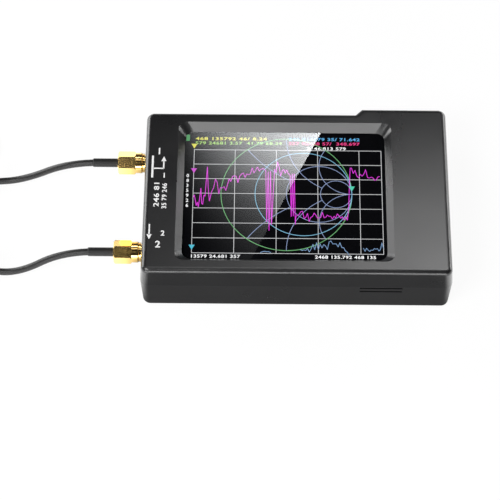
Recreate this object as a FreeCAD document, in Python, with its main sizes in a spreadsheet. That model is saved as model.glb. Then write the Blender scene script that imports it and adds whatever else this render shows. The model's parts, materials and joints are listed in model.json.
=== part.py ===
"""Pocket two-port antenna analyzer, lying on its back with its screen up.

X runs to the right along the case, Y runs to the rear and Z runs up. The origin is the middle
of the case's flat underside. All lengths are in millimetres.
"""

import FreeCAD, Part
import Sketcher
import math
import os

doc = FreeCAD.newDocument("antenna_analyzer")
sheet = doc.addObject("Spreadsheet::Sheet", "Sizes")
pieces = {}


class Measure:
    """A length together with the formula over the sheet's cells that gives it."""

    def __init__(self, number, formula):
        self.number = number
        self.formula = formula

    def __add__(self, other):
        other = measure(other)
        return Measure(self.number + other.number, f"({self.formula} + {other.formula})")

    def __sub__(self, other):
        other = measure(other)
        return Measure(self.number - other.number, f"({self.formula} - {other.formula})")

    def __mul__(self, other):
        other = measure(other)
        return Measure(self.number * other.number, f"({self.formula} * {other.formula})")

    def __rmul__(self, other):
        return measure(other) * self

    def __truediv__(self, other):
        other = measure(other)
        return Measure(self.number / other.number, f"({self.formula} / {other.formula})")

    def __neg__(self):
        return Measure(-self.number, f"(-1 * {self.formula})")


def measure(value):
    if isinstance(value, Measure):
        return value
    return Measure(float(value), f"({float(value)})")


def size(alias, number, meaning):
    """Write one driving dimension into the sheet and return it."""
    size.row += 1
    sheet.set(f"A{size.row}", meaning)
    sheet.set(f"B{size.row}", str(number))
    sheet.setAlias(f"B{size.row}", alias)
    return Measure(number, f"Sizes.{alias}")


size.row = 0


case_width = size("case_width", 121.0, "case, widest, at the parting line")
case_depth = size("case_depth", 74.7, "case, front to rear, without the bulge")
case_height = size("case_height", 26.3, "case, underside to top face")
parting_drop = size("parting_drop", 0.5, "axes of the ports down to the line where the shells meet")
bulge_depth = size("bulge_depth", 2.6, "how far the right rear stands out")
bulge_inset = size("bulge_inset", 37.0, "right side of the case to where the bulge's ramp begins")
wall = size("wall", 2.0, "side wall of the shells")
roof = size("roof", 2.0, "top wall")
floor = size("floor", 2.0, "bottom wall")
upper_draft = size("upper_draft", 4.0, "lean of the upper side walls, degrees")
lower_draft = size("lower_draft", 1.7, "lean of the lower side walls, degrees")
corner_radius = size("corner_radius", 3.0, "upright corners of the case")
top_round = size("top_round", 2.2, "round of the top edge")
bottom_round = size("bottom_round", 1.5, "round of the bottom edge")

window_left = size("window_left", 13.45, "left side of the case to the window at the top face")
window_right = size("window_right", 22.65, "right side of the case to the window at the top face")
window_front = size("window_front", 5.75, "front of the case to the window at the top face")
window_rear = size("window_rear", 5.25, "rear of the case to the window at the top face")
window_slope = size("window_slope", 2.6, "how far the window's walls lean in")
window_recess = size("window_recess", 3.6, "top face down to the glass")
window_corner = size("window_corner", 4.5, "round of the window's corners")
rim_width = size("rim_width", 1.5, "rim of the roof around the window")

glass_lap_x = size("glass_lap_x", 7.15, "touch glass past the window's foot, left and right")
glass_lap_y = size("glass_lap_y", 1.95, "touch glass past the window's foot, front and rear")
glass_thickness = size("glass_thickness", 1.1, "touch glass")
panel_inset_x = size("panel_inset_x", 1.5, "display panel inside the touch glass, left and right")
panel_inset_y = size("panel_inset_y", 1.0, "display panel inside the touch glass, front and rear")
panel_thickness = size("panel_thickness", 1.6, "display panel")
backlight_inset = size("backlight_inset", 0.5, "backlight tray inside the display panel")
backlight_thickness = size("backlight_thickness", 1.4, "backlight tray")
pads_thickness = size("pads_thickness", 1.1, "foam pads between the backlight tray and the board")
pads_side = size("pads_side", 6.0, "side of a square foam pad")
flex_width = size("flex_width", 20.0, "display's flat flex")
flex_thickness = size("flex_thickness", 0.3, "display's flat flex")
flex_reach = size("flex_reach", 1.4, "how far the flex bows out beyond the panel")
connector_gap = size("connector_gap", 2.3, "panel to the flex's connector")
connector_depth = size("connector_depth", 3.0, "flex's connector, along the flex")
connector_width = size("connector_width", 24.0, "flex's connector, across the flex")

port_1_inset = size("port_1_inset", 18.95, "rear of the case to the axis of port 1")
port_2_inset = size("port_2_inset", 14.55, "front of the case to the axis of port 2")
board_thickness = size("board_thickness", 1.6, "main board")
board_gap = size("board_gap", 0.3, "main board to the walls")
shield_inset = size("shield_inset", 12.5, "left side of the case to the shield cans")
shield_length = size("shield_length", 22.0, "shield cans, across")
shield_width = size("shield_width", 19.2, "shield cans, front to rear")
shield_height = size("shield_height", 2.2, "shield cans")
socket_width = size("socket_width", 14.8, "card socket across")
socket_depth = size("socket_depth", 14.6, "card socket front to rear")
socket_height = size("socket_height", 1.85, "card socket")
socket_wall = size("socket_wall", 1.7, "side and rear walls of the card socket")

boss_inset = size("boss_inset", 5.2, "case side to the middle of a screw boss")
boss_radius = size("boss_radius", 3.0, "screw boss")
screw_radius = size("screw_radius", 1.25, "case screw shank")
screw_clearance = size("screw_clearance", 0.15, "shank to the hole it passes")
screw_head_radius = size("screw_head_radius", 2.3, "case screw head")
screw_head_height = size("screw_head_height", 1.5, "case screw head")
screw_head_depth = size("screw_head_depth", 2.4, "seat of the screw head above the underside")
screw_grip = size("screw_grip", 4.5, "thread in the upper boss")

slot_inset = size("slot_inset", 27.55, "right side of the case to the middle of the front slots")
slot_width = size("slot_width", 16.5, "front slots across")
slot_height = size("slot_height", 1.0, "front slots, bottom to top")
card_slot_drop = size("card_slot_drop", 0.6, "board's underside to the middle of the upper front slot")
slot_spacing = size("slot_spacing", 2.64, "upper front slot to the lower one")

rear_part_height = size("rear_part_height", 3.4, "switch housings below the board")
rear_gap = size("rear_gap", 0.3, "rear switches to the shell around them")
notch_play = size("notch_play", 0.1, "head of the jog lever to the sides of its notch")
jog_spacing = size("jog_spacing", 6.6, "middle of the jog switch to the power switch")
jog_width = size("jog_width", 6.0, "jog switch housing")
jog_travel = size("jog_travel", 0.5, "press of the jog switch")
jog_wall = size("jog_wall", 0.8, "walls of the jog switch housing")
jog_depth = size("jog_depth", 6.0, "jog switch housing, front to rear")
jog_well = size("jog_well", 4.0, "well of the jog switch housing, front to rear")
jog_play = size("jog_play", 0.2, "jog carrier to its well")
jog_shelf = size("jog_shelf", 0.4, "shelves of the jog carrier above and below its lever")
jog_pin_radius = size("jog_pin_radius", 0.4, "pin that the jog lever rocks on")
jog_eye_radius = size("jog_eye_radius", 1.0, "eye of the jog lever")
jog_arm = size("jog_arm", 1.2, "arm of the jog lever across")
jog_head = size("jog_head", 4.0, "head of the jog lever across")
jog_reach = size("jog_reach", 2.0, "arm of the jog lever outside the case")
power_spacing = size("power_spacing", 9.4, "middle of the power switch to the charging socket")
power_depth = size("power_depth", 4.0, "power switch housing, front to rear")
power_foot = size("power_foot", 3.4, "foot of the power slider across")
power_knob = size("power_knob", 1.4, "knob of the power slider across")
power_reach = size("power_reach", 1.6, "knob of the power slider outside the case")
power_width = size("power_width", 6.6, "power switch housing")
power_travel = size("power_travel", 1.8, "travel of the power slider")
usb_inset = size("usb_inset", 12.9, "right side of the case to the middle of the charging socket")
usb_width = size("usb_width", 8.94, "charging socket shell across")
usb_height = size("usb_height", 3.2, "charging socket shell, bottom to top")
usb_depth = size("usb_depth", 7.3, "charging socket shell, front to rear")
usb_sheet = size("usb_sheet", 0.3, "metal of the charging socket")
usb_back = size("usb_back", 0.8, "rear wall inside the charging socket")
usb_round = size("usb_round", 0.38, "round of the charging socket, share of its height")
tongue_width = size("tongue_width", 6.7, "tongue of the charging socket across")
tongue_thickness = size("tongue_thickness", 0.7, "tongue of the charging socket")

battery_width = size("battery_width", 50.0, "battery across")
battery_depth = size("battery_depth", 34.0, "battery front to rear")
battery_room = size("battery_room", 3.6, "battery to the board above it")
battery_inset = size("battery_inset", 56.5, "right side of the case to the middle of the battery")
foam_thickness = size("foam_thickness", 0.8, "foam under the battery")
foam_inset = size("foam_inset", 2.0, "foam inside the battery's outline")
plug_side = size("plug_side", 6.0, "side of the battery's connector")
plug_gap = size("plug_gap", 6.5, "battery to its connector")
plug_height = size("plug_height", 4.0, "battery's connector")
wire_radius = size("wire_radius", 0.6, "battery wire")
wire_spacing = size("wire_spacing", 2.4, "one battery wire to the other")

nut_mouth = size("nut_mouth", 0.8, "case side to the mouth of a tightened nut")
nut_length = size("nut_length", 9.8, "coupling nut")
nut_round_length = size("nut_round_length", 2.8, "round front of the coupling nut")
nut_round_radius = size("nut_round_radius", 4.1, "round front of the coupling nut")
nut_flats = size("nut_flats", 8.0, "coupling nut across its flats")
nut_lip = size("nut_lip", 1.2, "lip at the rear of the coupling nut")
nut_chamfer = size("nut_chamfer", 0.45, "chamfer of the coupling nut")
thread_radius = size("thread_radius", 3.175, "crest of the jack's thread")
thread_pitch = size("thread_pitch", 0.7056, "thread of 36 turns to 25.4 mm")
thread_depth = size("thread_depth", 0.4, "thread groove")
thread_clearance = size("thread_clearance", 0.05, "jack thread to the nut's bore")
jack_depth = size("jack_depth", 6.2, "nut's mouth to the jack's front face")
collar_radius = size("collar_radius", 3.8, "collar of the jack outside the wall")
collar_length = size("collar_length", 0.6, "collar of the jack outside the wall")
flange_width = size("flange_width", 6.4, "square flange of the jack")
flange_thickness = size("flange_thickness", 1.8, "square flange of the jack")
leg_length = size("leg_length", 4.0, "legs of the jack along the board")
leg_width = size("leg_width", 1.1, "legs of the jack")
meeting_depth = size("meeting_depth", 4.25, "nut's mouth to the plane where the fronts meet")
sleeve_clearance = size("sleeve_clearance", 0.02, "plug front in the jack's mouth")
ferrule_radius = size("ferrule_radius", 2.29, "front tube of the plug")
insulator_radius = size("insulator_radius", 2.03, "white insulators")
insulator_gap = size("insulator_gap", 0.02, "insulators to the metal around them")
pin_radius = size("pin_radius", 0.457, "centre pin of the plug")
pin_clearance = size("pin_clearance", 0.04, "centre pin in its socket")
pin_reach = size("pin_reach", 2.4, "centre pin in front of the meeting plane")
contact_radius = size("contact_radius", 0.635, "centre contact of the jack")
tail_radius = size("tail_radius", 0.45, "tail of the centre contact")
plug_flange_radius = size("plug_flange_radius", 2.95, "flange of the plug inside the nut")
neck_radius = size("neck_radius", 2.35, "neck of the plug in the nut's lip")
neck_clearance = size("neck_clearance", 0.08, "neck to the nut's lip")
crimp_radius = size("crimp_radius", 1.5, "crimped tube of the plug")
crimp_length = size("crimp_length", 7.0, "crimped tube behind the nut")
boot_radius = size("boot_radius", 1.75, "black sleeve")
boot_length = size("boot_length", 10.0, "black sleeve")
cable_radius = size("cable_radius", 1.4, "coax cable")
loop_radius = size("loop_radius", 14.5, "middle of the cable's loop")
loop_reach = size("loop_reach", 78.5, "left side of the case to the middle of the cable's loop")
loop_climb = size("loop_climb", 3.4, "rise where the loop crosses its own lead")

half_width = case_width / 2
half_depth = case_depth / 2
bulge_start = half_width - bulge_inset
bulge_end = bulge_start + bulge_depth
roof_under = case_height - roof
window_width = case_width - window_left - window_right
window_depth = case_depth - window_front - window_rear
window_x = window_left + window_width / 2 - half_width
window_y = window_front + window_depth / 2 - half_depth
glass_width = window_width - 2 * window_slope + 2 * glass_lap_x
glass_depth = window_depth - 2 * window_slope + 2 * glass_lap_y
panel_width = glass_width - 2 * panel_inset_x
panel_depth = glass_depth - 2 * panel_inset_y
glass_top = case_height - window_recess
glass_low = glass_top - glass_thickness
panel_low = glass_low - panel_thickness
tray_low = panel_low - backlight_thickness
board_top = tray_low - pads_thickness
board_bottom = board_top - board_thickness
port_height = board_top - board_thickness / 2
port_1_y = half_depth - port_1_inset
port_2_y = port_2_inset - half_depth
parting_height = port_height - parting_drop
slot_x = half_width - slot_inset
card_slot_z = board_bottom - card_slot_drop
vent_slot_z = card_slot_z - slot_spacing
usb_x = half_width - usb_inset
power_x = usb_x - power_spacing
jog_x = power_x - jog_spacing
battery_x = half_width - battery_inset
battery_height = board_bottom - floor - foam_thickness - battery_room
loop_x = -(half_width + loop_reach)
slot_margin = size("slot_margin", 1.0, "how far a cutting shape runs past a face")


def origin_part(body, role):
    for feature in body.Origin.OriginFeatures:
        if feature.Role == role:
            return feature
    raise ValueError(role)


def bind(thing, name, value):
    thing.setExpression(name, measure(value).formula)


def named(label, thing):
    """Keep a finished sub-part under the name of its file."""
    thing.Label = label
    pieces[label] = thing
    return thing


def start_sketch(body, role, lift, shift):
    sketch = body.newObject("Sketcher::SketchObject", "Sketch")
    sketch.AttachmentSupport = [(origin_part(body, role), "")]
    sketch.MapMode = "FlatFace"
    bind(sketch, "AttachmentOffset.Base.x", shift[0])
    bind(sketch, "AttachmentOffset.Base.y", shift[1])
    bind(sketch, "AttachmentOffset.Base.z", lift)
    return sketch


def hold(sketch, line, end, place):
    """Fix a point of the sketch at a place that the sheet gives."""
    for kind, value in zip(("DistanceX", "DistanceY"), place):
        value = measure(value)
        index = sketch.addConstraint(Sketcher.Constraint(kind, -1, 1, line, end, value.number))
        sketch.setExpression(f"Constraints[{index}]", value.formula)


def outline(body, role, corners, lift=0, shift=(0, 0)):
    """A closed outline of straight lines on one of the body's own planes."""
    sketch = start_sketch(body, role, lift, shift)
    spots = [FreeCAD.Vector(measure(a).number, measure(b).number, 0) for a, b in corners]
    count = len(spots)
    for i in range(count):
        sketch.addGeometry(Part.LineSegment(spots[i], spots[(i + 1) % count]))
    for i in range(count):
        sketch.addConstraint(Sketcher.Constraint("Coincident", i, 2, (i + 1) % count, 1))
    for i in range(count):
        hold(sketch, i, 1, corners[i])
    return sketch


def rectangle(x, y):
    return [(x[0], y[0]), (x[1], y[0]), (x[1], y[1]), (x[0], y[1])]


def circles(body, role, centres, radius, lift=0):
    sketch = start_sketch(body, role, lift, (0, 0))
    for i, (a, b) in enumerate(centres):
        centre = FreeCAD.Vector(measure(a).number, measure(b).number, 0)
        sketch.addGeometry(Part.Circle(centre, FreeCAD.Vector(0, 0, 1), radius.number))
        index = sketch.addConstraint(Sketcher.Constraint("Radius", i, radius.number))
        sketch.setExpression(f"Constraints[{index}]", radius.formula)
        hold(sketch, i, 3, (a, b))
    return sketch


def pad(body, sketch, length, taper=None, turned_round=False):
    feature = body.newObject("PartDesign::Pad", "Pad")
    feature.Profile = sketch
    bind(feature, "Length", length)
    if taper is not None:
        bind(feature, "TaperAngle", taper)
    feature.Reversed = turned_round
    doc.recompute()
    return feature


def pocket(body, sketch, length, taper=None, turned_round=False):
    """Cut the sketch into the body, and make sure that it removes something."""
    before = body.Shape.Volume
    feature = body.newObject("PartDesign::Pocket", "Pocket")
    feature.Profile = sketch
    bind(feature, "Length", length)
    if taper is not None:
        bind(feature, "TaperAngle", taper)
    feature.Reversed = turned_round
    doc.recompute()
    if not body.Shape.Volume < before:
        raise ValueError(f"a pocket of {body.Label} cuts nothing")
    return feature


def fillet(body, base, radius, wanted):
    """Round the edges of the base feature that the test picks."""
    names = [
        f"Edge{i}" for i, edge in enumerate(base.Shape.Edges, 1) if wanted(edge)
    ]
    feature = body.newObject("PartDesign::Fillet", "Fillet")
    feature.Base = (base, names)
    bind(feature, "Radius", radius)
    doc.recompute()
    return feature


def middle(edge):
    return edge.valueAt((edge.FirstParameter + edge.LastParameter) / 2)


def upright(edge):
    """Whether an edge runs mostly up and down."""
    box = edge.BoundBox
    return box.ZLength > 2 * max(box.XLength, box.YLength)


def new_body(label):
    return doc.addObject("PartDesign::Body", label)


def block(label, x, y, z):
    """A box between three pairs of faces."""
    thing = doc.addObject("Part::Box", label)
    for name, axis, (low, high) in zip(("Length", "Width", "Height"), "xyz", (x, y, z)):
        bind(thing, name, measure(high) - low)
        bind(thing, f"Placement.Base.{axis}", low)
    return thing


def cylinder(label, centre, radius, height):
    """An upright cylinder that starts at the centre of its lower face."""
    thing = doc.addObject("Part::Cylinder", label)
    bind(thing, "Radius", radius)
    bind(thing, "Height", height)
    for axis, value in zip("xyz", centre):
        bind(thing, f"Placement.Base.{axis}", value)
    return thing


def cut(label, base, tools):
    thing = doc.addObject("Part::Cut", label)
    thing.Base = base
    thing.Tool = tools[0] if len(tools) == 1 else fuse(f"{label}_tools", tools)
    return thing


def fuse(label, parts):
    thing = doc.addObject("Part::MultiFuse", label)
    thing.Shapes = parts
    thing.Refine = True
    return thing


def turned(label, y, z, profile):
    """A piece turned about a line along X: its profile is places along X and radii."""
    body = new_body(label)
    sketch = outline(body, "XZ_Plane", profile, lift=-measure(y), shift=(0, z))
    feature = body.newObject("PartDesign::Revolution", "Revolution")
    feature.Profile = sketch
    feature.ReferenceAxis = (sketch, ["H_Axis"])
    feature.Angle = 360.0
    doc.recompute()
    return body


def case_outline(inset):
    """The case seen from above: a rectangle whose right rear stands out behind a ramp."""
    side = half_width - inset
    rear = half_depth - inset
    return [
        (-side, -rear),
        (side, -rear),
        (side, rear + bulge_depth),
        (bulge_end + inset, rear + bulge_depth),
        (bulge_start + inset, rear),
        (-side, rear),
    ]


boss_x = half_width - boss_inset
boss_y = half_depth - boss_inset
boss_places = [
    (-boss_x, -boss_y),
    (boss_x, -boss_y),
    (boss_x, boss_y + bulge_depth),
    (-boss_x, boss_y),
]
ports = [(port_1_y, port_height), (port_2_y, port_height)]
barrel_radius = thread_radius + thread_clearance
port_hole_radius = barrel_radius + 2 * thread_clearance.number


def outer_corner(edge):
    spot = middle(edge)
    return upright(edge) and abs(spot.x) > half_width.number - 2


def window_edge(edge):
    """The four leaning edges where the window's walls meet."""
    spot = middle(edge)
    depth = case_height.number - glass_top.number
    across = abs(spot.x - window_x.number) - window_width.number / 2 + window_slope.number / 2
    along = abs(spot.y - window_y.number) - window_depth.number / 2 + window_slope.number / 2
    tall = abs(edge.BoundBox.ZLength - depth) < 0.01
    return tall and abs(across) < 0.1 and abs(along) < 0.1


def make_upper_shell():
    body = new_body("upper_shell")
    height = case_height - parting_height
    base = pad(body, outline(body, "XY_Plane", case_outline(0), parting_height), height, -upper_draft)
    base = fillet(body, base, corner_radius, outer_corner)
    top = case_height.number
    fillet(body, base, top_round, lambda edge: edge.BoundBox.ZMin > top - 0.01)
    cavity = outline(body, "XY_Plane", case_outline(wall), parting_height)
    pocket(body, cavity, height - roof, -upper_draft, True)
    half_rim_x = window_width / 2 + rim_width
    half_rim_y = window_depth / 2 + rim_width
    rim = rectangle(
        (window_x - half_rim_x, window_x + half_rim_x),
        (window_y - half_rim_y, window_y + half_rim_y),
    )
    pad(body, outline(body, "XY_Plane", rim, glass_top), roof_under + roof / 2 - glass_top)
    bosses = circles(body, "XY_Plane", boss_places, boss_radius, board_top)
    pad(body, bosses, roof_under + roof / 2 - board_top)
    window = rectangle(
        (window_x - window_width / 2, window_x + window_width / 2),
        (window_y - window_depth / 2, window_y + window_depth / 2),
    )
    lean = Measure(
        math.degrees(math.atan(window_slope.number / window_recess.number)),
        f"atan({window_slope.formula} / {window_recess.formula})",
    )
    sketch = outline(body, "XY_Plane", window, case_height)
    opening = pocket(body, sketch, window_recess, -lean)
    fillet(body, opening, window_corner, window_edge)
    threads = circles(body, "XY_Plane", boss_places, screw_radius, board_top)
    pocket(body, threads, screw_grip + 0.5, None, True)
    cut_ports(body)
    return body


def cut_ports(body):
    """The holes in the left wall that both shells share."""
    sketch = circles(body, "YZ_Plane", ports, port_hole_radius, -(half_width + slot_margin))
    pocket(body, sketch, wall + slot_margin * 2, None, True)


def make_lower_shell():
    body = new_body("lower_shell")
    sketch = outline(body, "XY_Plane", case_outline(0), parting_height)
    base = pad(body, sketch, parting_height, -lower_draft, True)
    base = fillet(body, base, corner_radius, outer_corner)
    fillet(body, base, bottom_round, lambda edge: edge.BoundBox.ZMax < 0.01)
    cavity = outline(body, "XY_Plane", case_outline(wall), parting_height)
    pocket(body, cavity, parting_height - floor, -lower_draft)
    bosses = circles(body, "XY_Plane", boss_places, boss_radius, floor / 2)
    pad(body, bosses, board_bottom - floor / 2)
    shanks = circles(body, "XY_Plane", boss_places, screw_radius + screw_clearance, 0)
    pocket(body, shanks, board_bottom + slot_margin, None, True)
    heads = circles(body, "XY_Plane", boss_places, screw_head_radius + screw_clearance, 0)
    pocket(body, heads, screw_head_depth, None, True)
    cut_ports(body)
    for z in (card_slot_z, vent_slot_z):
        slot = rectangle(
            (slot_x - slot_width / 2, slot_x + slot_width / 2),
            (z - slot_height / 2, z + slot_height / 2),
        )
        sketch = outline(body, "XZ_Plane", slot, half_depth + slot_margin)
        pocket(body, sketch, wall + slot_margin * 2)
    low = board_bottom - rear_part_height - rear_gap
    notches = [
        (jog_x, jog_head / 2 + notch_play),
        (power_x, (power_knob + power_travel) / 2 + slot_margin),
        (usb_x, usb_width / 2 + rear_gap),
    ]
    for x, half in notches:
        notch = rectangle((x - half, x + half), (low, parting_height + slot_margin))
        rear = half_depth + bulge_depth
        sketch = outline(body, "XZ_Plane", notch, -(rear + slot_margin))
        pocket(body, sketch, wall + slot_margin * 2, None, True)
    return body


def make_screws():
    """Pan-head screws that come up through the lower bosses into the upper ones."""
    for number, (x, y) in enumerate(boss_places, 1):
        seat = screw_head_depth
        head = cylinder("head", (x, y, seat - screw_head_height), screw_head_radius, screw_head_height)
        shank = cylinder("shank", (x, y, seat), screw_radius, board_top + screw_grip - seat)
        slot_half = screw_head_radius * 0.12
        reach = screw_head_radius * 0.6
        bottom = seat - screw_head_height
        slots = [
            block("slot", (x - reach, x + reach), (y - slot_half, y + slot_half),
                  (bottom - slot_margin, bottom + screw_head_height / 2)),
            block("slot", (x - slot_half, x + slot_half), (y - reach, y + reach),
                  (bottom - slot_margin, bottom + screw_head_height / 2)),
        ]
        named(f"case_screw_{number}", cut("screw", fuse("screw_blank", [head, shank]), slots))


def make_screen():
    """The display stack, hung under the window's rim."""
    def layer(label, width, depth, low, high):
        x = (window_x - width / 2, window_x + width / 2)
        y = (window_y - depth / 2, window_y + depth / 2)
        return named(label, block(label, x, y, (low, high)))

    layer("touch_glass", glass_width, glass_depth, glass_low, glass_top)
    layer("display_panel", panel_width, panel_depth, panel_low, glass_low)
    tray_width = panel_width - 2 * backlight_inset
    tray_depth = panel_depth - 2 * backlight_inset
    layer("backlight_tray", tray_width, tray_depth, tray_low, panel_low)
    pads = []
    half = pads_side / 2
    for x in (-0.42, 0.42):
        for y in (-0.4, 0.4):
            spot_x = window_x + panel_width * x
            spot_y = window_y + panel_depth * y
            span_x = (spot_x - half, spot_x + half)
            span_y = (spot_y - half, spot_y + half)
            pads.append(block("pad", span_x, span_y, (board_top, tray_low)))
    named("display_pads", fuse("pads", pads))

    edge = window_x + panel_width / 2
    connector = edge + connector_gap
    half = connector_width / 2
    span_x = (connector, connector + connector_depth)
    span_z = (board_top, board_top + pads_thickness)
    named("display_connector", block("display_connector", span_x, (-half, half), span_z))
    body = new_body("display_flex")
    top = panel_low + panel_thickness / 2
    bottom = board_top + pads_thickness / 2
    outside = edge + flex_reach
    inside = outside - flex_thickness
    strip = [
        (edge, top), (edge, top + flex_thickness), (outside, top + flex_thickness),
        (outside, bottom + flex_thickness), (connector, bottom + flex_thickness),
        (connector, bottom), (inside, bottom), (inside, top),
    ]
    pad(body, outline(body, "XZ_Plane", strip, -flex_width / 2), flex_width)
    named("display_flex", body)


def make_board():
    body = new_body("main_board")
    plate = outline(body, "XY_Plane", case_outline(wall + board_gap), board_bottom)
    pad(body, plate, board_thickness)
    holes = circles(body, "XY_Plane", boss_places, screw_radius + screw_clearance, board_top)
    pocket(body, holes, board_thickness)
    flange_x = -(half_width - wall - board_gap - flange_thickness)
    for y, z in ports:
        half = flange_width / 2 + board_gap
        notch = rectangle((-half_width, flange_x), (y - half, y + half))
        pocket(body, outline(body, "XY_Plane", notch, board_top), board_thickness)
        half = tail_radius + 0.15
        notch = rectangle((flange_x - slot_margin, flange_x + leg_length), (y - half, y + half))
        pocket(body, outline(body, "XY_Plane", notch, board_top), board_thickness)
    named("main_board", body)
    for number, (y, z) in enumerate(ports, 1):
        left = shield_inset - half_width
        span_x = (left, left + shield_length)
        span_y = (y - shield_width / 2, y + shield_width / 2)
        label = f"rf_shield_{number}"
        named(label, block(label, span_x, span_y, (board_bottom - shield_height, board_bottom)))
    under = [
        ("processor_chip", (-6, 4), (-6, 4), 1.2),
        ("clock_chip", (-20, -16), (8, 12), 0.9),
        ("reference_oscillator", (-21, -17), (-8, -5), 1.1),
    ]
    for label, x, y, height in under:
        named(label, block(label, x, y, (board_bottom - height, board_bottom)))
    front = -(half_depth - wall - board_gap)
    half = socket_width / 2
    span_y = (front, front + socket_depth)
    span_x = (slot_x - half, slot_x + half)
    socket = block("socket", span_x, span_y, (board_bottom - socket_height, board_bottom))
    half = half - socket_wall
    span_y = (front - slot_margin, front + socket_depth - socket_wall)
    span_z = (board_bottom - socket_height * 0.75, board_bottom - socket_height * 0.15)
    hollow = block("hollow", (slot_x - half, slot_x + half), span_y, span_z)
    named("card_socket", cut("card_socket", socket, [hollow]))


def make_battery():
    x = (battery_x - battery_width / 2, battery_x + battery_width / 2)
    y = (-battery_depth / 2, battery_depth / 2)
    top = floor + foam_thickness
    pad_x = (x[0] + foam_inset, x[1] - foam_inset)
    pad_y = (y[0] + foam_inset, y[1] - foam_inset)
    named("battery_foam", block("battery_foam", pad_x, pad_y, (floor, top)))
    body = new_body("battery")
    base = pad(body, outline(body, "XY_Plane", rectangle(x, y), top), battery_height)
    fillet(body, base, battery_height / 4, lambda edge: edge.BoundBox.YLength > battery_depth.number / 2)
    named("battery", body)
    plug_x = x[1] + plug_gap
    plug_y = plug_side
    span_y = (plug_y - plug_side / 2, plug_y + plug_side / 2)
    span_z = (board_bottom - plug_height, board_bottom)
    named("battery_connector", block("battery_connector", (plug_x, plug_x + plug_side), span_y, span_z))
    wires = []
    for side in (-1, 1):
        wire_y = (plug_y + wire_spacing / 2 * side).number
        low = FreeCAD.Vector(x[1].number, wire_y, (top + battery_height / 2).number)
        high = FreeCAD.Vector(plug_x.number, wire_y, (board_bottom - plug_height / 2).number)
        turn = FreeCAD.Vector(plug_gap.number / 3, 0, 0)
        wires.append(tube([low, low + turn, high - turn, high], wire_radius.number))
    thing = doc.addObject("Part::Feature", "battery_wires")
    thing.Shape = Part.makeCompound(wires)
    named("battery_wires", thing)


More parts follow.
